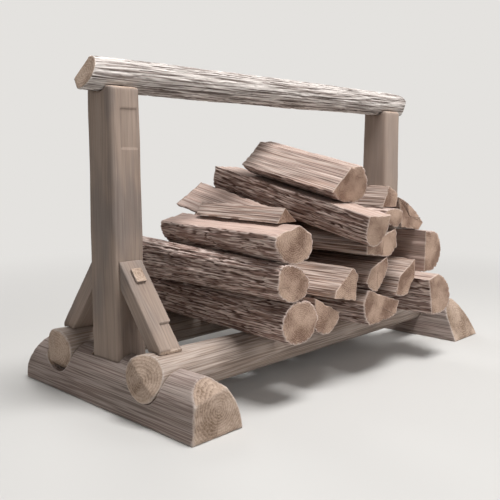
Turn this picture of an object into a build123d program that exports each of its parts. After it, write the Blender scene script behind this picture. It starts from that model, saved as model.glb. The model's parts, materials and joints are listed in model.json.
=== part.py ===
from build123d import *
import math
import os

# Firewood log rack: two half-round feet, two braced posts, two bottom rails, a lift-off top rail
# and the split logs that lie in it. Millimetres, X along the rack, front towards -Y, Z up.

# Feet
post_spacing = 1000
foot_width = 132
foot_height = 112
foot_brow = 70
foot_brow_inset = 6
foot_cheek = 38
foot_cheek_height = 101
foot_flank = 44
foot_flank_height = 66
foot_front = 309
foot_back = 288
foot_facet_height = 86
foot_facet_lean = 40
foot_facet_turn = 15
foot_front_bevel_lean = 25
foot_rear_bevel_height = 35
foot_rear_bevel_lean = 37

# Posts
post_width = 77
post_depth_at_foot = 97
post_depth_at_top = 84
post_seat = 72
post_top = 663
post_edge = 7
tenon_width = 36
tenon_depth = 46
tenon_length = 52

# Bottom rails, thinner towards the right
rail_offset = 155
rail_under = 43
rail_radius_left = 48
rail_radius_right = 35
rail_left = 566
rail_right = 580
rail_facet = 24
rail_facet_lean = 48
front_rail_turns = (100, 160, 230, 310)
rear_rail_turns = (60, 130, 250)
front_rail_cut = 42
front_rail_cut_lean = 31
front_rail_cut_turn = 132
rear_rail_cut_lean = 12
rear_rail_undercut = 24
rear_rail_undercut_lean = 45

# Top rail, let into the post tops
saddle_depth = 12
top_rail_radius_end = 33
top_rail_radius_middle = 36
top_rail_axis = post_top - saddle_depth + top_rail_radius_middle
top_rail_left = 583
top_rail_right = 598
top_rail_facet = 16
top_rail_turns = (40, 110, 200, 300)
top_rail_slant = 24
top_rail_chip = 8
top_rail_chip_turn = 320
top_rail_far_chip = 24
top_rail_far_chip_turn = 45
top_rail_chip_lean = 60

# Braces
brace_width = 58
brace_thickness = 36
brace_top = 310
brace_toe = 20
brace_toe_rise = 8

# Pegs
peg_radius = 9
tenon_peg_height = 48
tenon_peg_mouth = 55
tenon_peg_length = 90
rail_peg_recess = 4
rail_peg_bite = 52
saddle_peg_depth = 45
saddle_peg_rise = 26
brace_peg_share = 0.19
brace_peg_bite = 34
brace_peg_head_width = 26
brace_peg_head_height = 32
brace_peg_head_rise = 6

# Clearances
peg_clearance = 0.1
joint_clearance = 0.2
lift_clearance = 0.4
seat_gap = 0.5

# Firewood, its middle ahead of the posts
log_length = 490
log_thickness = 100
stack_ahead = 65
log_front = log_length / 2 + stack_ahead
arc_steps = 10
stations = 24
tilt_limit = 30
bisections = 40

# Furrows between the ridges of the bark, and the low steps of a face split with the grain
bark_spacing = 17
bark_furrow_width = 6
bark_furrow_depth = 2.5
riven_spacing = 28
riven_drop = 2.2
riven_rise = 6


def log(name, x, corners, setback=0, longer=0, yaw=0, slant=0, taper=1, tilt=None):
    # Drawn in hundredths of a log's thickness. x is the log's own zero line at its front end. Corners
    # run clockwise seen from the front, as (across, up, bow): bow is how far the side to the next corner
    # swells, 0 on a split face. Taper is the size of the back end against the front end.
    unit = log_thickness / 100
    corners = [(across * unit, up * unit, bow * unit) for across, up, bow in corners]
    return dict(name=name, x=x * unit, corners=corners, front=setback * unit - log_front,
                length=log_length + longer * unit, yaw=yaw, slant=slant, taper=taper, tilt=tilt)


# The stack from the bottom up: a log rests on those named before it
firewood = [
    log("firewood_01_round", -264, [(-55, 42, 13), (-6, 92, 15), (54, 48, 15), (0, 0, 15)],
        longer=70, yaw=4, slant=4),
    log("firewood_02_split", -152, [(-42, 22, 0), (-38, 86, 0), (46, 44, 9), (10, 0, 8)],
        setback=18, yaw=4),
    log("firewood_03_wedge", 40, [(-74, 54, 0), (-55, 86, 0), (80, 42, 0), (72, 10, 5), (-48, 0, 7)],
        slant=-5),
    log("firewood_04_split", 245, [(-55, 96, 0), (-8, 106, 8), (53, 60, 8), (44, 10, 6), (-34, 4, 0)],
        setback=-42, slant=3),
    log("firewood_05_round", -286, [(-46, 48, 12), (-20, 77, 9), (46, 42, 12), (20, 0, 7), (-34, 10, 9)],
        longer=70, yaw=1.5, taper=1.28),
    log("firewood_06_split", -100, [(-46, 16, 0), (-44, 30, 0), (22, 80, 0), (42, 62, 0), (34, 0, 0)],
        slant=-4),
    log("firewood_07_split", 20, [(-44, 28, 0), (-26, 58, 0), (40, 81, 0), (47, 62, 6), (0, 0, 6)],
        slant=4),
    log("firewood_08_split", 152, [(-46, 4, 0), (-30, 50, 0), (40, 87, 0), (40, 40, 0), (8, 0, 4)],
        slant=-3),
    log("firewood_09_half", 282, [(-42, 0, 0), (-41, 108, 0), (6, 103, 10), (44, 52, 8), (6, 0, 0)]),
    log("firewood_10_wedge", -121, [(-44, 24, 0), (-44, 88, 8), (10, 108, 6), (42, 94, 0),
                                    (42, 46, 0), (-10, 0, 0)],
        setback=310, longer=-250),
    log("firewood_11_half", -284, [(-50, 60, 0), (12, 77, 0), (45, 60, 9), (36, 6, 6), (-14, 0, 5),
                                   (-45, 24, 6)],
        longer=-50, yaw=8, slant=5),
    log("firewood_12_kindling", -254, [(-27, 0, 0), (-5, 33, 0), (27, 2, 0)],
        setback=48, longer=-190, yaw=7),
    log("firewood_13_split", 40, [(-65, 12, 0), (-65, 34, 0), (60, 68, 0), (63, 20, 5), (23, 0, 0)],
        slant=3),
    log("firewood_14_round", 86, [(-41, 30, 5), (-14, 43, 4), (40, 36, 5), (34, 6, 4), (0, 0, 5)]),
    log("firewood_15_offcut", -6, [(-42, 0, 0), (-40, 78, 0), (36, 84, 8), (40, 20, 6)],
        setback=365, longer=-280),
    log("firewood_16_half", -22, [(-45, 38, 0), (-45, 74, 0), (41, 72, 8), (26, 10, 8), (-22, 4, 6)],
        setback=-18, longer=20, tilt="own"),
    log("firewood_17_wedge", -124, [(-34, 8, 0), (46, 66, 0), (49, 44, 0), (26, 0, 0), (-24, 0, 0)],
        setback=230, longer=-190, tilt="firewood_16_half"),
    log("firewood_18_wedge", 216, [(-45, 12, 0), (-62, 90, 9), (62, 18, 0), (40, 0, 0)],
        setback=30, longer=-40),
    log("firewood_19_split", 118, [(-36, 0, 0), (-8, 53, 0), (31, 33, 4), (26, 0, 0)],
        setback=30, longer=-20),
    log("firewood_20_half", 0, [(-69, 26, 0), (-13, 86, 0), (30, 88, 12), (70, 20, 10), (8, 0, 8)],
        setback=75, longer=-190, tilt="firewood_16_half"),
]


def along(turn):
    return math.cos(math.radians(turn)), math.sin(math.radians(turn))


def trim(solid, point, normal):
    # Keeps what lies behind the plane
    return split(solid, bisect_by=Plane(origin=point, z_dir=normal), keep=Keep.BOTTOM)


def rail_radius(x):
    share = (x + rail_left) / (rail_left + rail_right)
    return rail_radius_left + share * (rail_radius_right - rail_radius_left)


def rail_axis(x):
    return rail_under + rail_radius(x)


def rail_crown(x):
    return rail_under + 2 * rail_radius(x)


def across_x(x, y, z):
    return Plane(origin=(x, y, z), x_dir=(0, 1, 0), z_dir=(1, 0, 0))


def rail_blank(y, grow=0):
    ends = [across_x(x, y, rail_axis(x)) * Circle(rail_radius(x) + grow) for x in (-rail_left, rail_right)]
    return loft(ends)


def rail_slot(y):
    # The U-shaped housing of a rail, open upwards
    ends = []
    for x in (-rail_left, rail_right):
        radius = rail_radius(x) + joint_clearance
        lower = ThreePointArc((-radius, 0), (0, -radius), (radius, 0))
        upper = Polyline((radius, 0), (radius, foot_height), (-radius, foot_height), (-radius, 0))
        ends.append(across_x(x, y, rail_axis(x)) * make_face([lower, *upper.edges()]))
    return loft(ends)


def facets(turns, bite, lean):
    return [(turn, bite, lean) for turn in turns]


def hewn_end(solid, x, y, z, radius, cuts):
    # Axe cuts at the end of a pole, facing away from the rack's middle: each turned about the pole,
    # biting in from its rim and leaning back from a square end
    outward = math.copysign(1, x)
    for turn, bite, lean in cuts:
        forward, side = along(lean)
        sideways, upward = along(turn)
        rim = radius - bite
        point = (x, y + rim * sideways, z + rim * upward)
        solid = trim(solid, point, (outward * forward, side * sideways, side * upward))
    return solid


def bottom_rail(facing, left_cuts, right_turns):
    y = facing * rail_offset
    rail = rail_blank(y)
    ends = {-rail_left: left_cuts, rail_right: facets(right_turns, rail_facet, rail_facet_lean)}
    for x, cuts in ends.items():
        rail = hewn_end(rail, x, y, rail_axis(x), rail_radius(x), cuts)
    for x in post_places.values():
        rail -= rail_peg(x, facing, peg_clearance)
    return rail


def front_rail():
    return bottom_rail(-1, [(front_rail_cut_turn, front_rail_cut, front_rail_cut_lean)], front_rail_turns)


def rear_rail():
    # A ridge stands upright across its left end
    cuts = facets((0, 180), rail_radius_left, rear_rail_cut_lean)
    return bottom_rail(1, [*cuts, (270, rear_rail_undercut, rear_rail_undercut_lean)], rear_rail_turns)


def top_rail_blank(grow=0):
    middle = (top_rail_right - top_rail_left) / 2
    radii = {
        -top_rail_left: top_rail_radius_end,
        middle: top_rail_radius_middle,
        top_rail_right: top_rail_radius_end,
    }
    return loft([across_x(x, 0, top_rail_axis) * Circle(radius + grow) for x, radius in radii.items()])


def top_rail():
    # Sawn at a slant on the left
    slant = (90, 2 * top_rail_radius_end, top_rail_slant)
    chips = [
        (top_rail_chip_turn, top_rail_chip, top_rail_chip_lean),
        (top_rail_far_chip_turn, top_rail_far_chip, top_rail_chip_lean),
    ]
    ends = {
        -top_rail_left: [slant, *chips],
        top_rail_right: facets(top_rail_turns, top_rail_facet, rail_facet_lean),
    }
    rail = top_rail_blank()
    for x, cuts in ends.items():
        rail = hewn_end(rail, x, 0, top_rail_axis, top_rail_radius_end, cuts)
    for x in post_places.values():
        rail -= saddle_peg(x, lift_clearance)
    return rail


def foot_section():
    # Half a log laid flat, steep on its left and rounded off on its right
    brow = (foot_brow_inset - foot_width / 2, foot_brow)
    sole = Polyline(brow, (-foot_width / 2, 0), (foot_width / 2, 0))
    flank = ThreePointArc((foot_width / 2, 0), (foot_flank, foot_flank_height), (0, foot_height))
    cheek = ThreePointArc((0, foot_height), (-foot_cheek, foot_cheek_height), brow)
    return make_face([*sole.edges(), flank, cheek])


def foot(x):
    front = Plane(origin=(x, -foot_front, 0), x_dir=(1, 0, 0), z_dir=(0, -1, 0))
    body = extrude(front * foot_section(), amount=foot_front + foot_back, dir=(0, 1, 0))
    if x < 0:
        upward, forward = along(foot_facet_lean)
        level, aside = along(foot_facet_turn)
        facing_out = (-aside * forward, -level * forward, upward)
        body = trim(body, (x, -foot_front, foot_facet_height), facing_out)
    else:
        forward, upward = along(foot_front_bevel_lean)
        body = trim(body, (x, -foot_front, 0), (0, -forward, upward))
    backward, upward = along(foot_rear_bevel_lean)
    body = trim(body, (x, foot_back, foot_rear_bevel_height), (0, backward, upward))
    for facing in (-1, 1):
        body -= rail_slot(facing * rail_offset)
        body -= rail_peg(x, facing, peg_clearance)
    seat = (post_width + 2 * joint_clearance, post_depth_at_foot + 2 * joint_clearance, foot_height)
    body -= Pos(x, 0, post_seat) * Box(*seat, align=(Align.CENTER, Align.CENTER, Align.MIN))
    mortise = (tenon_width + 2 * joint_clearance, tenon_depth + 2 * joint_clearance,
               tenon_length + joint_clearance)
    body -= Pos(x, 0, post_seat) * Box(*mortise, align=(Align.CENTER, Align.CENTER, Align.MAX))
    return body - tenon_peg(x, peg_clearance)


def post_blank(x):
    ends = {post_seat: post_depth_at_foot, post_top: post_depth_at_top}
    body = loft([Pos(x, 0, z) * Rectangle(post_width, depth) for z, depth in ends.items()])
    height = post_top - post_seat
    uprights = [edge for edge in body.edges() if edge.length > height - post_edge]
    return chamfer(uprights, post_edge)


def post(x):
    body = post_blank(x)
    tenon = Box(tenon_width, tenon_depth, tenon_length, align=(Align.CENTER, Align.CENTER, Align.MAX))
    body += Pos(x, 0, post_seat) * tenon
    body -= top_rail_blank(lift_clearance)
    body -= saddle_peg(x, peg_clearance)
    body -= tenon_peg(x, peg_clearance)
    for facing in (-1, 1):
        body -= brace_peg_shank(x, facing, peg_clearance)
    return body


def brace_line(x):
    # The outer face of a brace as (distance from the post's middle, height): head, toe, unit run
    share = (brace_top - post_seat) / (post_top - post_seat)
    head = ((post_depth_at_foot + share * (post_depth_at_top - post_depth_at_foot)) / 2, brace_top)
    toe = (rail_offset + brace_toe, rail_crown(x) + brace_toe_rise)
    reach = math.dist(head, toe)
    run = ((toe[0] - head[0]) / reach, (toe[1] - head[1]) / reach)
    return head, toe, run


def brace(x, facing):
    head, toe, run = brace_line(x)
    slope = run[1] / run[0]
    deep = rail_axis(x)
    inside = (toe[0] + brace_thickness * run[1], toe[1] - brace_thickness * run[0])
    core = post_depth_at_top / 4
    outline = [
        (core, head[1] + slope * (core - head[0])),
        toe,
        (toe[0], deep),
        (inside[0] + (deep - inside[1]) / slope, deep),
        (core, inside[1] + slope * (core - inside[0])),
    ]
    profile = Plane(origin=(x, 0, 0), x_dir=(0, facing, 0), z_dir=(facing, 0, 0))
    body = extrude(profile * Polygon(*outline, align=None), amount=brace_width / 2, both=True)
    body -= post_blank(x)
    body -= rail_blank(facing * rail_offset, joint_clearance)
    return body - brace_peg_shank(x, facing, peg_clearance)


def brace_peg_plane(x, facing):
    head, toe, run = brace_line(x)
    distance = head[0] + brace_peg_share * (toe[0] - head[0])
    height = head[1] + brace_peg_share * (toe[1] - head[1])
    outward = (0, -facing * run[1], run[0])
    return Plane(origin=(x, facing * distance, height), x_dir=(1, 0, 0), z_dir=outward)


def brace_peg_shank(x, facing, grow=0):
    length = brace_thickness + brace_peg_bite + grow
    shank = Cylinder(peg_radius + grow, length, align=(Align.CENTER, Align.CENTER, Align.MAX))
    return brace_peg_plane(x, facing) * shank


def brace_peg(x, facing):
    head = Box(brace_peg_head_width, brace_peg_head_height, brace_peg_head_rise,
               align=(Align.CENTER, Align.CENTER, Align.MIN))
    return brace_peg_plane(x, facing) * head + brace_peg_shank(x, facing)


def tenon_peg(x, grow=0):
    # Driven from the foot's rounded side, and short of its steep side
    mouth = foot_width / 2 if grow else tenon_peg_mouth
    end = tenon_peg_mouth - tenon_peg_length - grow
    start = Plane(origin=(x + mouth, 0, tenon_peg_height), x_dir=(0, 1, 0), z_dir=(1, 0, 0))
    sunk = (Align.CENTER, Align.CENTER, Align.MAX)
    return start * Cylinder(peg_radius + grow, mouth - end, align=sunk)


def rail_peg(x, facing, grow=0):
    base = 0 if grow else rail_peg_recess
    top = rail_under + rail_peg_bite + grow
    peg = Cylinder(peg_radius + grow, top - base, align=(Align.CENTER, Align.CENTER, Align.MIN))
    return Pos(x, facing * rail_offset, base) * peg


def saddle_peg(x, grow=0):
    seat = top_rail_axis - top_rail_radius_middle
    length = saddle_peg_depth + saddle_peg_rise
    peg = Cylinder(peg_radius + grow, length + 2 * grow, align=(Align.CENTER, Align.CENTER, Align.MIN))
    return Pos(x, 0, seat - saddle_peg_depth - grow) * peg


def bowed_middle(start, end, bow):
    chord = math.dist(start, end)
    return ((start[0] + end[0]) / 2 - bow * (end[1] - start[1]) / chord,
            (start[1] + end[1]) / 2 + bow * (end[0] - start[0]) / chord)


def sides(corners):
    following = corners[1:] + corners[:1]
    return [((x, z), (next_x, next_z), bow) for (x, z, bow), (next_x, next_z, _) in zip(corners, following)]


def outline_points(corners):
    points = []
    for start, end, bow in sides(corners):
        points.append(start)
        if bow:
            arc = ThreePointArc(start, bowed_middle(start, end, bow), end)
            inner = [arc @ (step / arc_steps) for step in range(1, arc_steps)]
            points += [(point.X, point.Y) for point in inner]
    return points


def section_at(wood, y, tilt):
    # The log's outline where it crosses the plane at y, before it is lifted to its seat
    back = y - wood["front"]
    turn = math.radians(wood["yaw"])
    scale = 1 + (wood["taper"] - 1) * back / wood["length"]
    rise = back * math.tan(tilt)
    shift = wood["x"] + back * math.tan(turn)
    wide = scale / math.cos(turn)
    tall = scale / math.cos(tilt)
    return [(shift + x * wide, rise + z * tall) for x, z in wood["outline"]]


def height_at(points, x, pick):
    heights = []
    for (x0, z0), (x1, z1) in zip(points, points[1:] + points[:1]):
        if min(x0, x1) <= x <= max(x0, x1):
            share = (x - x0) / (x1 - x0) if x1 != x0 else 0
            heights += [z0 + share * (z1 - z0)] + ([z1] if x1 == x0 else [])
    return pick(heights)


def lift_over(upper, lower):
    low = max(min(x for x, z in upper), min(x for x, z in lower))
    high = min(max(x for x, z in upper), max(x for x, z in lower))
    if low >= high:
        return 0
    places = [low, high] + [x for x, z in upper + lower if low < x < high]
    return max(height_at(lower, x, max) - height_at(upper, x, min) for x in places)


def back_end(wood):
    return wood["front"] + wood["length"] * math.cos(math.radians(wood["yaw"])) * math.cos(wood["angle"])


def needed_lift(wood, below, tilt, half=None):
    # How high the log has to lie to clear the rails and the logs below, on one half of it or on both
    lifts = [0]
    middle = wood["front"] + wood["length"] / 2
    for facing in (-1, 1):
        points = section_at(wood, facing * rail_offset, tilt)
        if half in (None, facing):
            lifts += [rail_crown(x) - z for x, z in points]
    for other in below:
        first = max(wood["front"], other["front"])
        last = min(back_end(wood), back_end(other))
        for step in range(stations + 1):
            y = first + (last - first) * step / stations
            if last > first and (half is None or (y - middle) * half > 0):
                lower = [(x, z + other["lift"]) for x, z in section_at(other, y, other["angle"])]
                lifts.append(lift_over(section_at(wood, y, tilt), lower))
    return max(lifts)


def own_tilt(wood, below):
    # The slope at which both halves of the log come to rest
    low, high = 0, math.radians(tilt_limit)
    for _ in range(bisections):
        middle = (low + high) / 2
        if needed_lift(wood, below, middle, -1) < needed_lift(wood, below, middle, 1):
            low = middle
        else:
            high = middle
    return low


def settle(logs):
    placed = {}
    for wood in logs:
        below = list(placed.values())
        wood["outline"] = outline_points(wood["corners"])
        wood["angle"] = 0
        if wood["tilt"] == "own":
            wood["angle"] = own_tilt(wood, below)
        elif wood["tilt"]:
            wood["angle"] = placed[wood["tilt"]]["angle"]
        wood["lift"] = needed_lift(wood, below, wood["angle"]) + seat_gap
        placed[wood["name"]] = wood


def log_axis(wood):
    # Unit run of a log from its front end to its back end
    level, aside = along(wood["yaw"])
    return Vector(aside * math.cos(wood["angle"]), level * math.cos(wood["angle"]), math.sin(wood["angle"]))


def furrowed(arc):
    # A bark side, with furrows all along the log
    share = bark_furrow_width / arc.length / 2
    count = max(1, round(arc.length / bark_spacing))
    edges = []
    reached = 0
    for number in range(count):
        place = (number + 0.5) / count
        run = arc % place
        floor = arc @ place + Vector(run.Y, -run.X) * bark_furrow_depth
        edges.append(arc.trim(reached, place - share))
        edges += Polyline(arc @ (place - share), floor, arc @ (place + share)).edges()
        reached = place + share
    return [*edges, arc.trim(reached, 1)]


def riven(face):
    # A split face: each step drops steeply and comes back up slowly
    count = int(face.length / riven_spacing)
    run = face % 0
    points = [face @ 0]
    for number in range(1, count):
        brink = face @ (number / count)
        points += [brink, brink + run * riven_rise + Vector(run.Y, -run.X) * riven_drop]
    return Polyline(*points, face @ 1).edges()


def section_face(corners):
    outline = []
    for start, end, bow in sides(corners):
        if bow:
            outline += furrowed(ThreePointArc(start, bowed_middle(start, end, bow), end))
        else:
            outline += riven(Line(start, end))
    return make_face(outline)


def log_solid(wood):
    axis = log_axis(wood)
    level, aside = along(wood["yaw"])
    front = Plane(origin=(wood["x"], wood["front"], wood["lift"]), x_dir=(level, -aside, 0), z_dir=-axis)
    section = section_face(wood["corners"])
    if wood["taper"] == 1:
        body = extrude(front * section, amount=wood["length"], dir=axis)
    else:
        thick = scale(section, by=wood["taper"])
        body = loft([front * section, front * Pos(0, 0, -wood["length"]) * thick])
    if wood["slant"]:
        edges = [x for x, z in wood["outline"]]
        foremost = front * Pos(max(edges) if wood["slant"] < 0 else min(edges), 0, 0)
        forward, aside = along(wood["slant"])
        body = trim(body, foremost.position, front.x_dir * -aside - axis * forward)
    return body


post_places = {"left": -post_spacing / 2, "right": post_spacing / 2}
facings = {"front": -1, "rear": 1}

nodes = {}
for side, place in post_places.items():
    nodes[f"{side}_foot"] = foot(place)
    nodes[f"{side}_post"] = post(place)
    nodes[f"{side}_tenon_peg"] = tenon_peg(place)
    nodes[f"{side}_saddle_peg"] = saddle_peg(place)
    for end, facing in facings.items():
        nodes[f"{side}_{end}_brace"] = brace(place, facing)
        nodes[f"{side}_{end}_brace_peg"] = brace_peg(place, facing)
        nodes[f"{side}_{end}_rail_peg"] = rail_peg(place, facing)
nodes["front_rail"] = front_rail()
nodes["rear_rail"] = rear_rail()
nodes["top_rail"] = top_rail()
settle(firewood)
for wood in firewood:
    nodes[wood["name"]] = log_solid(wood)

# The origin is under the middle of the whole, at floor level
boxes = [solid.bounding_box() for solid in nodes.values()]
low = [min(getattr(box.min, axis) for box in boxes) for axis in "XY"]
high = [max(getattr(box.max, axis) for box in boxes) for axis in "XY"]
middle = Pos(-(low[0] + high[0]) / 2, -(low[1] + high[1]) / 2, 0)
os.makedirs("parts", exist_ok=True)
for name, solid in nodes.items():
    export_step(middle * solid, f"parts/{name}.step")
print("shift", middle.position)
for wood in firewood:
    print(wood["name"], "lift", round(wood["lift"], 2), "axis", [round(v, 4) for v in log_axis(wood)])
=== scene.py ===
import json
import math

import bmesh
import bpy
import numpy as np
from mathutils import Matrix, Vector
from mathutils.geometry import convex_hull_2d


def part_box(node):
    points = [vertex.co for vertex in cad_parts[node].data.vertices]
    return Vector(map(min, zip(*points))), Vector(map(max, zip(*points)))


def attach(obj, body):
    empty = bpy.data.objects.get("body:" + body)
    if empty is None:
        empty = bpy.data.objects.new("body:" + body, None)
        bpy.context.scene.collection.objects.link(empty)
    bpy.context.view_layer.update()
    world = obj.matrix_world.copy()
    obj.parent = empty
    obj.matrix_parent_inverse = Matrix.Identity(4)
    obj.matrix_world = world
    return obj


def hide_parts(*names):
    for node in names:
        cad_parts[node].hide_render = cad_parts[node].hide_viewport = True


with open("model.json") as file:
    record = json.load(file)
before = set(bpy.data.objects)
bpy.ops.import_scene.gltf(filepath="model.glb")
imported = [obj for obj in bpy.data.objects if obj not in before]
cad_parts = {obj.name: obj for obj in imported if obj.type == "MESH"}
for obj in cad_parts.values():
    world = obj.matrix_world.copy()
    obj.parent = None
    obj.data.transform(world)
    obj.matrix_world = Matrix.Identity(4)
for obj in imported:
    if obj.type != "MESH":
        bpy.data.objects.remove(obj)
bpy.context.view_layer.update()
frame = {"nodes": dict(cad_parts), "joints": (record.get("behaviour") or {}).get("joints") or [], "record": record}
bodyOf = {node: body for body, nodes in frame["record"]["behaviour"]["bodies"].items() for node in nodes}
print("frame loaded:", len(frame["nodes"]), "nodes")


class Wire:
    # one output socket of a shader or geometry tree
    def __init__(self, socket):
        self.socket = socket
        self.tree = socket.id_data

    @staticmethod
    def node(tree, kind, settings=None, inputs=None, output=0):
        made = tree.nodes.new(kind)
        for key, value in (settings or {}).items():
            setattr(made, key, value)
        for key, value in (inputs or {}).items():
            shown = [s for s in made.inputs if s.enabled]
            place = shown[key] if isinstance(key, int) else next(s for s in shown if s.name == key)
            if isinstance(value, Wire):
                tree.links.new(value.socket, place)
            else:
                place.default_value = value
        shown = [s for s in made.outputs if s.enabled]
        return Wire(shown[output] if isinstance(output, int) else made.outputs[output])

    def maths(self, operation, *others):
        inputs = dict(enumerate((self, *others)))
        return Wire.node(self.tree, "ShaderNodeMath", {"operation": operation}, inputs)

    def __add__(self, other):
        return self.maths("ADD", other)

    def __sub__(self, other):
        return self.maths("SUBTRACT", other)

    def __mul__(self, other):
        return self.maths("MULTIPLY", other)

    def __truediv__(self, other):
        return self.maths("DIVIDE", other)

    def __rsub__(self, other):
        return Wire.node(self.tree, "ShaderNodeMath", {"operation": "SUBTRACT"}, {0: other, 1: self})

    def __abs__(self):
        return self.maths("ABSOLUTE")

    __radd__ = __add__
    __rmul__ = __mul__

    def between(self, low, high):
        # 0 below low, 1 above high, eased
        inputs = {"Value": self, "From Min": low, "From Max": high}
        return Wire.node(self.tree, "ShaderNodeMapRange", {"interpolation_type": "SMOOTHSTEP"}, inputs)

    def vector(self, operation, other=None, output=0):
        inputs = {0: self} if other is None else {0: self, 1: other}
        return Wire.node(self.tree, "ShaderNodeVectorMath", {"operation": operation}, inputs, output)

    def scaled(self, amount):
        inputs = {0: self, "Scale": amount}
        return Wire.node(self.tree, "ShaderNodeVectorMath", {"operation": "SCALE"}, inputs)

    def parts(self):
        node = self.tree.nodes.new("ShaderNodeSeparateXYZ")
        self.tree.links.new(self.socket, node.inputs[0])
        return [Wire(socket) for socket in node.outputs]


def joinXyz(tree, x, y, z):
    return Wire.node(tree, "ShaderNodeCombineXYZ", {}, {0: x, 1: y, 2: z})


noiseMiddle = 0.5


def noiseAt(tree, place, detail, distortion=0.0, colour=False):
    inputs = {"Vector": place, "Scale": 1.0, "Detail": detail, "Distortion": distortion}
    return Wire.node(tree, "ShaderNodeTexNoise", {}, inputs, "Color" if colour else 0)


def alongGrain(tree, space, width, length, shift):
    # wood coordinates stretched along the grain
    x, y, z = space
    return joinXyz(tree, x / width + shift, y / width, z / length)


def grainNoise(tree, space, look, seed):
    # a noise drawn out along the grain, moved by its own seed
    place = alongGrain(tree, space, look["width"], look["length"], seed + look["shift"])
    return noiseAt(tree, place, look["detail"], look.get("waver", 0.0))


def lineWhere(noise, width):
    # thin lines where a noise crosses its middle
    return 1 - (abs(noise - noiseMiddle) / width).maths("MINIMUM", 1.0)


heartCrackLook = {
    "turns": 1.3,
    "detail": 1.0,
    "reachTurns": 0.8,
    "reachDetail": 0.0,
    "seedSlant": 0.7,
    "halfWidth": 0.00025,
    "reaches": (0.5, 0.62),
    "clearOfHeart": (0.004, 0.016),
}


def heartCracks(tree, space, seed):
    # radial drying cracks in end grain, about the heart
    look = heartCrackLook
    x, y, z = space
    flat = joinXyz(tree, x, y, 0.0)
    radius = flat.vector("LENGTH", output="Value")
    seedMove = joinXyz(tree, seed, seed * look["seedSlant"], 0.0)
    turn = flat.vector("NORMALIZE").scaled(look["turns"]).vector("ADD", seedMove)
    crossing = abs(noiseAt(tree, turn, look["detail"]) - noiseMiddle) * radius / look["halfWidth"]
    reach = noiseAt(tree, turn.scaled(look["reachTurns"]), look["reachDetail"]).between(*look["reaches"])
    return (1 - crossing.maths("MINIMUM", 1.0)) * radius.between(*look["clearOfHeart"]) * reach


reliefInputs = {
    "heart": (0.0, 0.0, 0.0),
    "across": (1.0, 0.0, 0.0),
    "over": (0.0, 1.0, 0.0),
    "grain": (0.0, 0.0, 1.0),
    "seed": 0.0,
    "tone": 0.5,
    "soften": 0,
    "fibreWidth": 0.0065,
    "fibreLength": 0.15,
    "fibreDepth": 0.0014,
    "stepWidth": 0.03,
    "stepLength": 0.40,
    "stepDepth": 0.0014,
    "ridgeWidth": 0.006,
    "ridgeLength": 0.15,
    "ridgeDepth": 0.0024,
    "ridgeOnWood": 0.0,
    "hewnWidth": 0.035,
    "hewnLength": 0.10,
    "hewnDepth": 0.0,
    "checkDepth": 0.0,
    "waveDepth": 0.0010,
    "capDepth": 0.0010,
    "crackDepth": 0.0014,
    "chipDepth": 0.003,
    "proud": 0.0012,
    "scarPlace": (0.0, 0.0, 0.0),
    "scarHalf": (0.0, 0.0, 0.0),
    "scarDepth": 0.0,
}
socketKinds = {tuple: "NodeSocketVector", float: "NodeSocketFloat", int: "NodeSocketInt"}

barkLook = {
    "driftWidth": 0.03,
    "driftLength": 0.07,
    "driftDetail": 1.0,
    "driftReach": 1.3,
    "furrowSide": 0.16,
    "fineWidth": 0.5,
    "fineLength": 0.45,
    "fineShare": 0.3,
    "fineShift": 7,
}


def barkFurrows(tree, space, width, length, seed):
    # long wavering plates: 0 on a ridge, 1 in the furrow between two
    wander = alongGrain(tree, space, barkLook["driftWidth"], barkLook["driftLength"], seed)
    drift = noiseAt(tree, wander, barkLook["driftDetail"], colour=True)
    drift = drift.vector("SUBTRACT", (noiseMiddle,) * 3)
    place = alongGrain(tree, space, width, length, seed).vector("ADD", drift.scaled(barkLook["driftReach"]))
    gap = Wire.node(tree, "ShaderNodeTexVoronoi", {"feature": "DISTANCE_TO_EDGE"},
                    {"Vector": place, "Scale": 1.0})
    return 1 - gap.between(0.0, barkLook["furrowSide"])


scarEdge = (-0.0008, 0.0012)


def scarMask(space, place, half):
    # 1 inside a box in wood coordinates
    apart = [abs(way - place[i]) for i, way in enumerate(space)]
    inside = [(half[i] - way).between(*scarEdge) for i, way in enumerate(apart)]
    return inside[0] * inside[1] * inside[2]


# how wide and long each mark of the wood is, in metres, and what keeps it apart from the others
markLook = {
    "fibre": {"shift": 3, "detail": 2.0},
    "step": {"shift": 11, "detail": 1.0},
    "check": {"width": 0.045, "length": 0.9, "shift": 17, "detail": 1.0, "waver": 0.2},
    "checkPatch": {"width": 0.2, "length": 0.3, "shift": 5, "detail": 2.0},
    "wave": {"width": 0.10, "length": 0.20, "shift": 31, "detail": 1.0},
    "chip": {"width": 0.022, "length": 0.034, "shift": 41, "detail": 1.0},
    "rough": {"width": 0.016, "length": 0.016, "shift": 53, "detail": 2.0},
    "hewnShift": 23,
    "hewnSmoothness": 0.25,
    "capFacing": (0.44, 0.60),
    "stepLevels": 7,
    "stepRise": (0.72, 1.0),
    "checkLine": 0.022,
    "checkPatches": (0.52, 0.60),
    "chips": (0.47, 0.72),
    "darkCheckDepth": 0.004,
    "darkCrackDepth": 0.0014,
    "ridgeDark": 0.8,
    "scarRimDark": 3,
    # blur and height scale of the standing-out measure behind the painted edge highlight and the painted hollow
    # shade
    "wornBlur": 6,
    "wornHeight": 0.0014,
}


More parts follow.
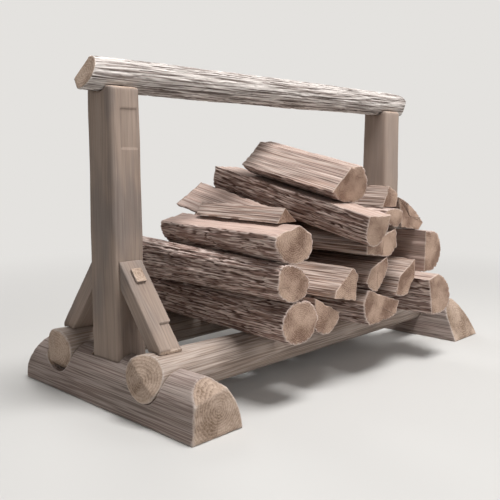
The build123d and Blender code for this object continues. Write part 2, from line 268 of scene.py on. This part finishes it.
def makeReliefTree():
    # carves bark, split fibre, axe marks, cracks and chips into a plain wooden shape
    tree = bpy.data.node_groups.new("woodRelief", "GeometryNodeTree")
    tree.interface.new_socket("shape", in_out="INPUT", socket_type="NodeSocketGeometry")
    tree.interface.new_socket("carved", in_out="OUTPUT", socket_type="NodeSocketGeometry")
    for name, value in reliefInputs.items():
        kind = socketKinds[type(value)]
        tree.interface.new_socket(name, in_out="INPUT", socket_type=kind).default_value = value
    tree.interface.new_socket("finish", in_out="INPUT", socket_type="NodeSocketMaterial")
    entry = tree.nodes.new("NodeGroupInput")
    given = {socket.name: Wire(socket) for socket in entry.outputs if socket.name}

    def kept(flow, name, value, kind="FLOAT"):
        settings = {"data_type": kind, "domain": "POINT"}
        return Wire.node(tree, "GeometryNodeStoreNamedAttribute", settings,
                         {"Geometry": flow, "Name": name, "Value": value})

    def stored(name, kind="FLOAT"):
        return Wire.node(tree, "GeometryNodeInputNamedAttribute", {"data_type": kind}, {"Name": name})

    def blurred(value, times):
        return Wire.node(tree, "GeometryNodeBlurAttribute", {"data_type": "FLOAT_VECTOR"},
                         {"Value": value, "Iterations": times})

    place = Wire.node(tree, "GeometryNodeInputPosition")
    normal = Wire.node(tree, "GeometryNodeInputNormal")
    flow = Wire.node(tree, "GeometryNodeSetPosition", {},
                     {"Geometry": given["shape"], "Position": blurred(place, given["soften"])})

    offHeart = place.vector("SUBTRACT", given["heart"])
    space = [offHeart.vector("DOT_PRODUCT", given[way], "Value") for way in ("across", "over", "grain")]
    flow = kept(flow, "woodSpace", joinXyz(tree, *space), "FLOAT_VECTOR")
    space = stored("woodSpace", "FLOAT_VECTOR").parts()
    seed = given["seed"]
    cap = abs(normal.vector("DOT_PRODUCT", given["grain"], "Value")).between(*markLook["capFacing"])
    bark = stored("bark")
    edge = stored("edge")

    def mark(name):
        # a mark's noise, its size from the tree's inputs where it has none of its own
        look = dict(markLook[name])
        look.setdefault("width", given.get(name + "Width"))
        look.setdefault("length", given.get(name + "Length"))
        return grainNoise(tree, space, look, seed)

    fineWidth = given["ridgeWidth"] * barkLook["fineWidth"]
    fineLength = given["ridgeLength"] * barkLook["fineLength"]
    furrow = barkFurrows(tree, space, given["ridgeWidth"], given["ridgeLength"], seed)
    fine = barkFurrows(tree, space, fineWidth, fineLength, seed + barkLook["fineShift"])
    barkDrop = furrow * (1 - barkLook["fineShare"]) + fine * barkLook["fineShare"]

    levels = markLook["stepLevels"]
    level = mark("step") * levels
    step = (level.maths("FLOOR") + level.maths("FRACT").between(*markLook["stepRise"])) / levels
    check = lineWhere(mark("check"), markLook["checkLine"])
    check = check * mark("checkPatch").between(*markLook["checkPatches"])
    hewnSeed = seed + markLook["hewnShift"]
    hewnPlace = alongGrain(tree, space, given["hewnWidth"], given["hewnLength"], hewnSeed)
    hewn = Wire.node(tree, "ShaderNodeTexVoronoi", {"feature": "SMOOTH_F1"},
                     {"Vector": hewnPlace, "Scale": 1.0, "Smoothness": markLook["hewnSmoothness"]})
    chip = edge * mark("chip").between(*markLook["chips"])
    crack = heartCracks(tree, space, seed)
    scar = scarMask(space, given["scarPlace"].parts(), given["scarHalf"].parts())

    split = given["fibreDepth"] * mark("fibre") + given["stepDepth"] * step + given["checkDepth"] * check
    split = split + given["ridgeOnWood"] * given["ridgeDepth"] * barkDrop
    side = bark * given["ridgeDepth"] * barkDrop + (1 - bark) * split - given["proud"]
    side = side + given["waveDepth"] * mark("wave")
    side = side + given["hewnDepth"] * (1 - hewn * hewn).maths("MAXIMUM", 0.0)
    end = given["capDepth"] * mark("rough") + given["crackDepth"] * crack
    drop = (1 - cap) * side + cap * end + given["chipDepth"] * chip + given["scarDepth"] * scar
    darkCheck = check * given["checkDepth"] / markLook["darkCheckDepth"]
    darkRidge = given["ridgeOnWood"] * barkDrop * markLook["ridgeDark"]
    # a dark line painted round the scar's border: painted shade along the recess edge
    scarRimShade = scar * (1 - scar) * markLook["scarRimDark"]
    deepWood = darkCheck.maths("MAXIMUM", darkRidge).maths("MAXIMUM", scarRimShade)
    deepEnd = cap * crack * given["crackDepth"] / markLook["darkCrackDepth"]
    deep = (1 - cap) * (bark * barkDrop + (1 - bark) * deepWood) + deepEnd

    for name, value in {"relief": deep, "cap": cap, "tone": given["tone"]}.items():
        flow = kept(flow, name, value)
    sunk = normal.scaled(drop * -1)
    flow = Wire.node(tree, "GeometryNodeSetPosition", {}, {"Geometry": flow, "Offset": sunk})
    # how far each point stands out from its neighbours: drives edge wear with a painted highlight on standing
    # edges, and painted shade in hollows
    around = blurred(place, markLook["wornBlur"])
    stand = place.vector("SUBTRACT", around).vector("DOT_PRODUCT", normal, "Value")
    flow = kept(flow, "worn", stand / markLook["wornHeight"])
    flow = Wire.node(tree, "GeometryNodeRealizeInstances", {}, {"Geometry": flow})
    flow = Wire.node(tree, "GeometryNodeSetMaterial", {}, {"Geometry": flow, "Material": given["finish"]})
    leave = tree.nodes.new("NodeGroupOutput")
    tree.links.new(flow.socket, leave.inputs["carved"])
    return tree


reliefTree = makeReliefTree()
print("relief tree ready")


def paint(code):
    # a web colour as the shader's own numbers
    parts = [int(code[i:i + 2], 16) / 255 for i in (1, 3, 5)]
    return tuple(c / 12.92 if c <= 0.04045 else ((c + 0.055) / 1.055) ** 2.4 for c in parts) + (1.0,)


def blend(tree, first, second, amount):
    # one colour going over to another
    settings = {"data_type": "RGBA", "clamp_factor": True}
    return Wire.node(tree, "ShaderNodeMix", settings, {"Factor": amount, "A": first, "B": second})


# the grain's noises: how wide and long, in metres, how each moves with a piece's tone, and how fine it is
grainLook = {
    "drift": {"width": 0.03, "length": 0.25, "byTone": 0, "shift": 0, "detail": 2.0},
    "fibre": {"width": 0.0019, "length": 0.09, "byTone": 3, "shift": 0, "detail": 3.0},
    "thread": {"width": 0.0042, "length": 0.20, "byTone": 7, "shift": 0, "detail": 2.0},
    "otherThread": {"width": 0.0046, "length": 0.24, "byTone": 7, "shift": 19, "detail": 1.0},
    "barkLine": {"width": 0.0088, "length": 0.12, "byTone": 13, "shift": 0, "detail": 2.0},
    "streak": {"width": 0.011, "length": 0.26, "byTone": 5, "shift": 0, "detail": 3.0},
    "blotch": {"width": 0.06, "length": 0.16, "byTone": 11, "shift": 0, "detail": 2.0},
    "speck": {"width": 0.004, "length": 0.008, "byTone": 0, "shift": 0, "detail": 2.0},
}

# where each noise or mask starts to show and where it shows in full
shownFrom = {
    "ringStart": (0.1, 0.8),
    "ringEnd": (0.86, 1.0),
    "smoothTone": (0.8, 1.0),
    "freshTone": (0.55, 1.0),
    "faceStreak": (0.34, 0.70),
    "faceBlotch": (0.3, 0.7),
    "greyBlotch": (0.42, 0.7),
    "faceFibre": (0.50, 0.72),
    "endBlotch": (0.35, 0.7),
    "endSpeck": (0.4, 0.7),
    "furrow": (0.30, 1.0),
    "barkFibre": (0.52, 0.75),
    "barkBlotch": (0.40, 0.66),
    "barkRidge": (0.1, 0.5),
    "barkPlate": (0.3, 0.8),
    "crack": (0.1, 1.0),
    # the standing-out measure: lighter edges are wear with a painted highlight, darker hollows are painted shade
    "worn": (0.25, 1.3),
    "hollow": (-0.35, -1.7),
    "rubbed": (0.3, 1.4),
}

# how much of each goes into the colour, the height and the roughness
shareLook = {
    "ringTone": 9,
    "smooth": 0.7,
    "threadLine": 0.12,
    "barkLine": 0.08,
    "faceRing": 0.16,
    "faceBlotch": 0.2,
    "faceBase": 0.05,
    "fresh": 0.6,
    "endRing": 0.26,
    "endBlotch": 0.75,
    "endSpeck": 0.35,
    "endBase": 0.08,
    "furrow": 0.8,
    "barkFibre": 0.4,
    "barkGrey": 0.6,
    "barkDark": 0.7,
    "barkPale": 0.9,
    # strength of the painted shade in hollows
    "hollow": 0.55,
    "heightFibre": 0.5,
    "heightThread": 0.5,
    "heightStreak": 0.3,
    "heightSpeck": 0.3,
    "heightRing": 0.2,
    "bumpDistance": 0.0014,
    "roughBase": 0.74,
    "roughStreak": 0.14,
    "roughBark": 0.10,
    "roughRubbed": 0.12,
}


def makeWood(name, look):
    material = bpy.data.materials.new(name)
    material.use_nodes = True
    tree = material.node_tree
    shader = tree.nodes["Principled BSDF"]
    colour = {key: paint(value) for key, value in look.items() if isinstance(value, str)}
    share = shareLook

    def attribute(label, output="Fac"):
        return Wire.node(tree, "ShaderNodeAttribute", {"attribute_name": label}, {}, output)

    def shown(wire, label):
        return wire.between(*shownFrom[label])

    space = attribute("woodSpace", "Vector").parts()
    bark, relief, cap, worn, tone = [attribute(key) for key in ("bark", "relief", "cap", "worn", "tone")]
    noise = {key: grainNoise(tree, space, size, tone * size["byTone"]) for key, size in grainLook.items()}

    radius = joinXyz(tree, space[0], space[1], 0.0).vector("LENGTH", output="Value")
    year = radius / look["ringWidth"] + noise["drift"] * look["ringDrift"] + tone * share["ringTone"]
    year = year.maths("FRACT")
    ring = shown(year, "ringStart") * (1 - shown(year, "ringEnd"))
    plain = 1 - shown(tone, "smoothTone") * share["smooth"]
    darkThread = lineWhere(noise["thread"], share["threadLine"]) * plain * look["darkThreads"]
    paleThread = lineWhere(noise["otherThread"], share["threadLine"]) * plain * look["paleThreads"]

    def rind():
        # the bark's colour: dark furrows, grey patches and thin pale lines painted as ridge highlights
        rindShade = shown(relief, "furrow") * share["furrow"]
        rindShade = rindShade + shown(noise["fibre"], "barkFibre") * share["barkFibre"]
        lichen = shown(noise["blotch"], "barkBlotch") * (1 - shown(relief, "barkRidge")) * share["barkGrey"]
        # thin pale lines on the plates: painted ridge highlights
        barkLine = lineWhere(noise["barkLine"], share["barkLine"]) * (1 - shown(relief, "barkPlate"))
        mixed = blend(tree, colour["barkRidge"], colour["barkFurrow"], rindShade)
        mixed = blend(tree, mixed, colour["barkGrey"], lichen)
        mixed = blend(tree, mixed, colour["barkFurrow"], darkThread * share["barkDark"])
        return blend(tree, mixed, colour["barkPale"], barkLine * share["barkPale"])

    faceShade = ring * share["faceRing"] + shown(noise["streak"], "faceStreak") * look["streaks"]
    faceShade = faceShade + shown(noise["blotch"], "faceBlotch") * share["faceBlotch"] - share["faceBase"]
    face = blend(tree, colour["faceLight"], colour["faceDark"], faceShade)
    face = blend(tree, face, colour["faceGrey"], shown(noise["blotch"], "greyBlotch") * look["weather"])
    face = blend(tree, face, colour["fresh"], shown(tone, "freshTone") * share["fresh"])
    face = blend(tree, face, colour["faceDark"], shown(noise["fibre"], "faceFibre") * look["streaks"])
    face = blend(tree, face, colour["crack"], darkThread)
    face = blend(tree, face, colour["wornEdge"], paleThread)

    endShade = ring * share["endRing"] + shown(noise["blotch"], "endBlotch") * share["endBlotch"]
    endShade = endShade + shown(noise["speck"], "endSpeck") * share["endSpeck"] - share["endBase"]
    end = blend(tree, colour["endLight"], colour["endDark"], endShade)

    shade = blend(tree, face, end, cap)
    # crack colour on checks, cracks and furrows, and as painted shade round each scar's rim
    shade = blend(tree, shade, colour["crack"], (1 - bark) * shown(relief, "crack") * look["crackShade"])
    if "barkRidge" in colour:
        shade = blend(tree, shade, rind(), bark)
    # lighter on standing edges: edge wear together with a painted highlight
    shade = blend(tree, shade, colour["wornEdge"], shown(worn, "worn") * look["wornAmount"])
    # painted shade in hollows, in the crack colour
    shade = blend(tree, shade, colour["crack"], shown(worn, "hollow") * share["hollow"])

    height = noise["fibre"] * share["heightFibre"] + noise["thread"] * share["heightThread"] * (1 - cap)
    height = height + noise["streak"] * share["heightStreak"] + noise["speck"] * share["heightSpeck"]
    height = height - ring * share["heightRing"] * cap
    bump = Wire.node(tree, "ShaderNodeBump", {}, {
        "Strength": look["bump"], "Distance": share["bumpDistance"], "Height": height})
    rough = share["roughBase"] + noise["streak"] * share["roughStreak"] + bark * share["roughBark"]
    rough = rough - shown(worn, "rubbed") * share["roughRubbed"]
    for key, wire in (("Base Color", shade), ("Roughness", rough), ("Normal", bump)):
        tree.links.new(wire.socket, shader.inputs[key])
    shader.inputs["Specular IOR Level"].default_value = look["gloss"]
    return material


def carve(name, mesh, voxel, finish, settings):
    # runs the relief tree over a plain mesh and keeps the result as a plain mesh
    rough = bpy.data.objects.new(name + "Blank", mesh)
    bpy.context.scene.collection.objects.link(rough)
    if voxel:
        remesh = rough.modifiers.new("even", "REMESH")
        remesh.mode = "VOXEL"
        remesh.voxel_size = voxel
    relief = rough.modifiers.new("relief", "NODES")
    relief.node_group = reliefTree
    wanted = dict(settings, finish=finish)
    for item in reliefTree.interface.items_tree:
        if item.in_out == "INPUT" and item.name in wanted:
            value = wanted[item.name]
            relief[item.identifier] = tuple(value) if isinstance(value, (Vector, tuple)) else value
    graph = bpy.context.evaluated_depsgraph_get()
    carved = bpy.data.meshes.new_from_object(rough.evaluated_get(graph), preserve_all_data_layers=True,
                                             depsgraph=graph)
    bpy.data.objects.remove(rough)
    carved.shade_smooth()
    piece = bpy.data.objects.new(name, carved)
    bpy.context.scene.collection.objects.link(piece)
    return piece


def dress(piece, node):
    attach(piece, bodyOf[node])
    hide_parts(node)
    return piece


sameSpot = 1e-6


def mergedCopy(node):
    # a CAD node's loose triangles as one closed skin
    skin = bmesh.new()
    skin.from_mesh(frame["nodes"][node].data)
    bmesh.ops.remove_doubles(skin, verts=skin.verts, dist=sameSpot)
    return skin


def meshOf(skin, name):
    mesh = bpy.data.meshes.new(name)
    skin.to_mesh(mesh)
    skin.free()
    return mesh


steepGrain = 0.8


def squareTo(grain):
    # two directions square to the grain, the second as near to upright as it can be
    upright = Vector((0, 0, 1)) if abs(grain.z) < steepGrain else Vector((0, 1, 0))
    across = grain.cross(upright).normalized()
    return across, across.cross(grain).normalized()


firewoodLook = {
    "aroundStep": 0.0016,
    "alongStep": 0.0042,
    "cornerTurn": math.radians(20),
    "straight": math.radians(0.3),
    "edgeReach": 0.006,
    "endFacing": 0.9,
    "topFacing": 0.55,
    "sameGirth": 0.03,
    "rimRing": 0.06,
    "rimBark": 0.3,
    "rimEdge": 0.5,
    "roundHeart": 0.12,
    "splitHeart": 1.6,
    "halfHeart": 0.9,
    "seedStep": 3.7,
    "toneStep": 0.618,
    "capRings": (0.05, 0.12, 0.2, 0.29, 0.38, 0.47, 0.56, 0.65, 0.74, 0.83, 0.91, 0.97),
    "barkAllButTop": ("firewood_04_split", "firewood_16_half"),
    "tones": {"firewood_11_half": 1.0, "firewood_16_half": 0.9, "firewood_20_half": 0.8},
    "ringWidth": 0.0042,
    "ringDrift": 2.2,
    "faceLight": "#b49684",
    "faceDark": "#5f473b",
    "faceGrey": "#7e6c64",
    "fresh": "#c9aea4",
    "endLight": "#bca18e",
    "endDark": "#74594a",
    "barkRidge": "#9d8176",
    "barkFurrow": "#3f2c25",
    "barkGrey": "#a7938c",
    "barkPale": "#e6d3c9",
    "crack": "#33231b",
    "wornEdge": "#d9c7bc",
    "weather": 0.45,
    "streaks": 0.62,
    "darkThreads": 0.7,
    "paleThreads": 0.7,
    "crackShade": 0.4,
    "wornAmount": 0.45,
    "bump": 0.75,
    "gloss": 0.25,
}
firewoodWood = makeWood("firewoodWood", firewoodLook)


def endLoop(skin, axis, facing):
    # the ordered rim of one sawn end
    ends = {face for face in skin.faces if face.normal.dot(axis) * facing > firewoodLook["endFacing"]}
    rim = {}
    for edge in skin.edges:
        if len([face for face in edge.link_faces if face in ends]) == 1:
            for vert in edge.verts:
                rim.setdefault(vert, []).append(edge.other_vert(vert))
    first = min(rim, key=lambda vert: (vert.co.z, vert.co.x))
    loop, previous = [first], None
    while True:
        following = next(vert for vert in rim[loop[-1]] if vert is not previous)
        if following is first:
            return [np.array(vert.co) for vert in loop], np.array(next(iter(ends)).normal)
        previous = loop[-1]
        loop.append(following)


def tautStretches(loop, axis):
    # the rim as a string drawn round it would lie: stretches of points, and how far it bends at each start
    across, over = [np.array(way) for way in squareTo(Vector(axis))]
    stops = sorted(convex_hull_2d([(float(point @ across), float(point @ over)) for point in loop]))

    def bendAt(i):
        before = Vector(loop[stops[i]] - loop[stops[i - 1]])
        return before.angle(Vector(loop[stops[(i + 1) % len(stops)]] - loop[stops[i]]))

    stops = [stop for i, stop in enumerate(stops) if bendAt(i) > firewoodLook["straight"]]
    bends = [bendAt(i) for i in range(len(stops))]
    ends = stops[1:] + [stops[0] + len(loop)]
    return [[loop[i % len(loop)] for i in range(stop, end + 1)] for stop, end in zip(stops, ends)], bends


def sampleRim(loop, axis, barkAllButTop):
    # even points round a rim, with how much bark and how near a corner each one is
    middle = sum(loop) / len(loop)
    stretches, bends = tautStretches(loop, axis)
    points, barks, corners = [], [], []
    for i, stretch in enumerate(stretches):
        sharp = [bend > firewoodLook["cornerTurn"] for bend in (bends[i], bends[(i + 1) % len(bends)])]
        outward = np.cross(stretch[-1] - stretch[0], axis)
        outward = outward / np.linalg.norm(outward)
        if outward @ (stretch[0] + stretch[-1] - 2 * middle) < 0:
            outward = -outward
        isSplit = outward[2] > firewoodLook["topFacing"] if barkAllButTop else all(sharp)
        sizes = [np.linalg.norm(end - start) for start, end in zip(stretch, stretch[1:])]
        gone = 0
        for start, end, size in zip(stretch, stretch[1:], sizes):
            parts = max(1, round(size / firewoodLook["aroundStep"]))
            for part in range(parts):
                share = part / parts
                points.append(start + (end - start) * share)
                barks.append(0.0 if isSplit else 1.0)
                reach = gone + size * share
                near = [far for far, isCorner in zip((reach, sum(sizes) - reach), sharp) if isCorner]
                corners.append(max(0, 1 - min(near) / firewoodLook["edgeReach"]) if near else 0)
            gone += size
    return np.array(points), np.array(barks), np.array(corners)


def girth(loop):
    return sum(np.linalg.norm(loop[i] - loop[i - 1]) for i in range(len(loop)))


def addRing(grid, ring, bark, edge):
    # one more ring of points, given back as their numbers
    start = len(grid["points"])
    for key, values in (("points", ring), ("bark", bark), ("edge", edge)):
        grid[key] += list(values)
    return range(start, len(grid["points"]))


def bridge(grid, outer, inner, turned=False):
    # a band of faces between two rings
    for i in range(len(outer)):
        j = (i + 1) % len(outer)
        quad = (outer[i], outer[j], inner[j], inner[i])
        grid["faces"].append(quad[::-1] if turned else quad)


def closeEnd(grid, rim, outer, bark, turned):
    # rings of faces from the rim of a sawn end to its middle
    middle = np.mean(rim, axis=0)
    for share in firewoodLook["capRings"]:
        onRim = share < firewoodLook["rimRing"]
        barkLeft, edge = [firewoodLook[key] if onRim else 0.0 for key in ("rimBark", "rimEdge")]
        inner = addRing(grid, rim + (middle - rim) * share, bark * barkLeft, [edge] * len(rim))
        bridge(grid, outer, inner, turned)
        outer = inner
    centre = addRing(grid, [middle], [0.0], [0.0])[0]
    for i in range(len(outer)):
        fan = (outer[i], outer[(i + 1) % len(outer)], centre)
        grid["faces"].append(fan[::-1] if turned else fan)


def gridMesh(name, grid):
    # the grid as a mesh, its faces turned outward
    mesh = bpy.data.meshes.new(name)
    mesh.from_pydata([tuple(point) for point in grid["points"]], [], grid["faces"])
    for label in ("bark", "edge"):
        layer = mesh.attributes.new(label, "FLOAT", "POINT")
        layer.data.foreach_set("value", np.array(grid[label], np.float32))
    skin = bmesh.new()
    skin.from_mesh(mesh)
    bmesh.ops.recalc_face_normals(skin, faces=skin.faces)
    skin.to_mesh(mesh)
    skin.free()
    return mesh


def logGrid(node, axis):
    # a log as a fine grid, drawn from its two ends
    skin = mergedCopy(node)
    front = endLoop(skin, axis, -1)[0]
    back, backFacing = endLoop(skin, axis, 1)
    skin.free()
    along = np.array(axis)
    rim, bark, corner = sampleRim(front, along, node in firewoodLook["barkAllButTop"])
    frontMiddle = np.mean(rim, axis=0)
    backMiddle = np.mean(sampleRim(back, along, False)[0], axis=0)
    taper = girth(back) / girth(front)
    if abs(taper - 1) < firewoodLook["sameGirth"]:
        # straight: every rim point runs on along the axis to the back plane
        far, onPlane = rim, back[0]
    else:
        far, onPlane = backMiddle + (rim - frontMiddle) * taper, backMiddle
    far = far + ((onPlane - far) @ backFacing / (along @ backFacing))[:, None] * along
    length = np.linalg.norm(backMiddle - frontMiddle)
    rows = math.ceil(length / firewoodLook["alongStep"])
    grid = {"points": [], "bark": [], "edge": [], "faces": []}
    rings = []
    for row in range(rows + 1):
        share = row / rows
        nearEnd = max(0, 1 - min(share, 1 - share) * length / firewoodLook["edgeReach"])
        rings.append(addRing(grid, rim + (far - rim) * share, bark, np.maximum(corner, nearEnd)))
    for outer, inner in zip(rings, rings[1:]):
        bridge(grid, outer, inner)
    closeEnd(grid, rim, rings[0], bark, True)
    closeEnd(grid, far, rings[-1], bark, False)
    return gridMesh(node + "Grid", grid), rim, bark, frontMiddle


def heartOf(rim, bark, middle):
    # the tree's heart: behind the bark, near the split faces
    if bark.all():
        return Vector(middle + (rim[0] - middle) * firewoodLook["roundHeart"])
    if not bark.any():
        return Vector(middle + (rim[len(rim) // 3] - middle) * firewoodLook["splitHeart"])
    outside = np.mean(rim[bark > 0], axis=0)
    return Vector(middle + (middle - outside) * firewoodLook["halfHeart"])


pullAxis = {joint["child"]: Vector(joint["axis"]) for joint in frame["joints"]}
slopeAxis = pullAxis[bodyOf["firewood_16_half"]]
sloping = ("firewood_17_wedge", "firewood_20_half")
firewood = sorted(node for node in frame["nodes"] if node.startswith("firewood"))
for number, node in enumerate(firewood):
    grain = slopeAxis if node in sloping else pullAxis[bodyOf[node]]
    grain = -grain if grain.y < 0 else grain
    grid, rim, bark, middle = logGrid(node, grain)
    across, over = squareTo(grain)
    tone = firewoodLook["tones"].get(node, number * firewoodLook["toneStep"] % 1)
    settings = {"heart": heartOf(rim, bark, middle), "across": across, "over": over, "grain": grain,
                "seed": number * firewoodLook["seedStep"], "tone": tone}
    dress(carve(node + "_log", grid, None, firewoodWood, settings), node)
print("firewood carved:", len(firewood), "logs")


timberLook = {
    "seedFrom": 40,
    "seedStep": 5.3,
    "toneStep": 0.618,
    "ringWidth": 0.006,
    "ringDrift": 2.6,
    "faceLight": "#9b897c",
    "faceDark": "#5d4d44",
    "faceGrey": "#7d716a",
    "fresh": "#a49286",
    "endLight": "#bba594",
    "endDark": "#75604f",
    "crack": "#32261f",
    "wornEdge": "#cfc2b9",
    "weather": 0.5,
    "streaks": 0.16,
    "darkThreads": 0.24,
    "paleThreads": 0.45,
    "crackShade": 0.45,
    "wornAmount": 0.6,
    "bump": 0.6,
    "gloss": 0.25,
}
poleWood = makeWood("poleWood", timberLook)
hewnWood = makeWood("hewnWood", dict(timberLook, darkThreads=0.06, paleThreads=0.1, weather=0.9,
                                     streaks=0.14, wornAmount=0.35, bump=0.3))
barkedWood = makeWood("barkedWood", dict(timberLook, faceLight="#8a7871", streaks=0.1, paleThreads=0.42))
silverWood = makeWood("silverWood", dict(timberLook, faceLight="#9d928c", faceDark="#5f524b",
                                         faceGrey="#867c77", wornEdge="#e4dcd6", streaks=0.35,
                                         darkThreads=0.9, paleThreads=0.9, crackShade=0.6))
finishOf = {"post": hewnWood, "brace": hewnWood, "foot": barkedWood, "top_rail": silverWood}

railLook = {"voxel": 0.0028, "soften": 1, "fibreWidth": 0.008, "fibreLength": 0.22, "fibreDepth": 0.0014,
            "stepWidth": 0.03, "stepLength": 0.5, "stepDepth": 0.0012, "hewnWidth": 0.034,
            "hewnLength": 0.13, "hewnDepth": 0.0012, "checkDepth": 0.0025, "waveDepth": 0.002,
            "crackDepth": 0.0003, "proud": 0.003}
topRailLook = dict(railLook, voxel=0.0022, fibreDepth=0.0022, stepDepth=0.002, checkDepth=0.004,
                   ridgeOnWood=0.6, ridgeWidth=0.009, ridgeLength=0.13, ridgeDepth=0.0035, proud=0.0045)
footLook = dict(railLook, ridgeOnWood=0.12, ridgeWidth=0.0085, ridgeLength=0.14)
postLook = {"voxel": 0.0026, "soften": 9, "fibreWidth": 0.008, "fibreLength": 0.25, "fibreDepth": 0.0002,
            "stepWidth": 0.05, "stepLength": 0.6, "stepDepth": 0.0002, "hewnWidth": 0.05,
            "hewnLength": 0.10, "hewnDepth": 0.0018, "waveDepth": 0.0025, "proud": 0.003}
braceLook = dict(postLook, voxel=0.002, soften=4, hewnDepth=0.001, waveDepth=0.001, proud=0.0015)
pegLook = {"voxel": 0.0012, "soften": 1, "fibreWidth": 0.004, "fibreDepth": 0.0004, "stepDepth": 0.0005,
           "waveDepth": 0.0003, "capDepth": 0.0004, "crackDepth": 0.0, "proud": 0.0004}

# a panel marked out on the left post, and a splinter gone from the toe of the left front brace:
# middle and half size along its two faces and its grain, and depth
# each scar's border also gets a painted shade rim
scars = {
    "left_post": {"middle": (-0.5015, -0.0115, 0.578), "half": (0.020, 0.015, 0.040), "depth": 0.0018},
    "left_front_brace": {"middle": (-0.489, -0.130, 0.170), "half": (0.020, 0.015, 0.030), "depth": 0.005},
}


def carveTimber(node, grain, look, number):
    low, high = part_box(node)
    across, over = squareTo(grain)
    settings = {"heart": (low + high) / 2, "across": across, "over": over, "grain": grain,
                "seed": timberLook["seedFrom"] + number * timberLook["seedStep"],
                "tone": number * timberLook["toneStep"] % 1}
    settings.update({key: value for key, value in look.items() if key != "voxel"})
    if node in scars:
        off = Vector(scars[node]["middle"]) - settings["heart"]
        settings["scarPlace"] = Vector((off.dot(across), off.dot(over), off.dot(grain)))
        settings["scarHalf"] = scars[node]["half"]
        settings["scarDepth"] = scars[node]["depth"]
    blank = meshOf(mergedCopy(node), node + "Skin")
    finish = finishOf.get(node, finishOf.get(node.split("_")[-1], poleWood))
    return dress(carve(node + "_wood", blank, look["voxel"], finish, settings), node)


def braceRun(node):
    # direction of a brace: from its toe up to the post
    low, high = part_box(node)
    facing = -1 if "front" in node else 1
    return Vector((0, -facing * (high.y - low.y), high.z - low.z)).normalized()


alongX, alongY, alongZ = Vector((1, 0, 0)), Vector((0, 1, 0)), Vector((0, 0, 1))
timber = []
for node in sorted(set(frame["nodes"]) - set(firewood)):
    if "peg" in node:
        grain = braceRun(node.replace("_peg", "")).cross(alongX) if "brace" in node else alongZ
        timber.append((node, alongX if "tenon" in node else grain, pegLook))
    elif node.endswith("rail"):
        timber.append((node, alongX, topRailLook if node == "top_rail" else railLook))
    elif node.endswith("foot"):
        timber.append((node, alongY, footLook))
    elif node.endswith("post"):
        timber.append((node, alongZ, postLook))
    else:
        timber.append((node, braceRun(node), braceLook))
for number, (node, grain, look) in enumerate(timber):
    carveTimber(node, grain, look, number)
print("timber carved:", len(timber), "pieces")


stageLook = {"halfWidth": 14.0, "floor": "#bfbdba", "roughness": 0.9, "backdrop": "#e4e2df",
             "clearTo": 0.5, "fadedBy": 2.4}


def seenRays(tree):
    # 1 for what the camera sees, straight or in a shine
    path = tree.nodes.new("ShaderNodeLightPath")
    camera, shine, through = [Wire(path.outputs[name]) for name in
                              ("Is Camera Ray", "Is Glossy Ray", "Is Transmission Ray")]
    return camera.maths("MAXIMUM", shine).maths("MAXIMUM", through)


def makeFloor():
    size = stageLook["halfWidth"]
    mesh = bpy.data.meshes.new("floor")
    corners = [(-size, -size, 0), (size, -size, 0), (size, size, 0), (-size, size, 0)]
    mesh.from_pydata(corners, [], [(0, 1, 2, 3)])
    floor = bpy.data.objects.new("floor", mesh)
    bpy.context.scene.collection.objects.link(floor)
    material = bpy.data.materials.new("floorPaint")
    material.use_nodes = True
    tree = material.node_tree
    shader = tree.nodes["Principled BSDF"]
    shader.inputs["Base Color"].default_value = paint(stageLook["floor"])
    shader.inputs["Roughness"].default_value = stageLook["roughness"]
    place = Wire.node(tree, "ShaderNodeTexCoord", {}, {}, "Object")
    far = place.vector("LENGTH", output="Value").between(stageLook["clearTo"], stageLook["fadedBy"])
    glow = Wire.node(tree, "ShaderNodeEmission", {}, {
        "Color": paint(stageLook["backdrop"]), "Strength": 1.0})
    both = Wire.node(tree, "ShaderNodeMixShader", {}, {
        0: far * seenRays(tree), 1: Wire(shader.outputs[0]), 2: glow})
    tree.links.new(both.socket, tree.nodes["Material Output"].inputs["Surface"])
    mesh.materials.append(material)


lightLook = {
    "roomStrength": 0.16,
    "key": {"place": (-0.1, -0.9, 3.3), "size": 1.3, "watts": 140},
    "fill": {"place": (1.6, -3.0, 1.4), "size": 1.8, "watts": 34},
    "side": {"place": (-2.8, -1.2, 1.4), "size": 1.8, "watts": 7},
    "back": {"place": (0.8, 2.4, 2.4), "size": 1.4, "watts": 30},
    "aim": (0.0, 0.0, 0.3),
}


def makeLights():
    world = bpy.data.worlds.new("room")
    bpy.context.scene.world = world
    world.use_nodes = True
    tree = world.node_tree
    plain, shown = [Wire.node(tree, "ShaderNodeBackground", {}, {"Color": colour, "Strength": strength})
                    for colour, strength in (((1, 1, 1, 1), lightLook["roomStrength"]),
                                             (paint(stageLook["backdrop"]), 1.0))]
    both = Wire.node(tree, "ShaderNodeMixShader", {}, {0: seenRays(tree), 1: plain, 2: shown})
    tree.links.new(both.socket, tree.nodes["World Output"].inputs["Surface"])
    for label in ("key", "fill", "side", "back"):
        look = lightLook[label]
        lamp = bpy.data.lights.new(label, "AREA")
        lamp.shape = "DISK"
        lamp.size = look["size"]
        lamp.energy = look["watts"]
        holder = bpy.data.objects.new(label, lamp)
        holder.location = look["place"]
        facing = Vector(lightLook["aim"]) - Vector(look["place"])
        holder.rotation_euler = facing.to_track_quat("-Z", "Y").to_euler()
        bpy.context.scene.collection.objects.link(holder)


cameraLook = {"place": (-1.3495, -1.1605, 0.5137), "turn": 46.3299, "down": 7.4665,
              "lens": 49.13, "sensor": 36.0}


def makeCamera():
    view = bpy.data.cameras.new("camera")
    view.lens = cameraLook["lens"]
    view.sensor_width = cameraLook["sensor"]
    holder = bpy.data.objects.new("camera", view)
    holder.location = cameraLook["place"]
    holder.rotation_euler = (math.radians(90 - cameraLook["down"]), 0, math.radians(-cameraLook["turn"]))
    bpy.context.scene.collection.objects.link(holder)
    bpy.context.scene.camera = holder


makeFloor()
makeLights()
makeCamera()
bpy.context.scene.view_settings.view_transform = "Standard"
print("floor, lights and camera set")
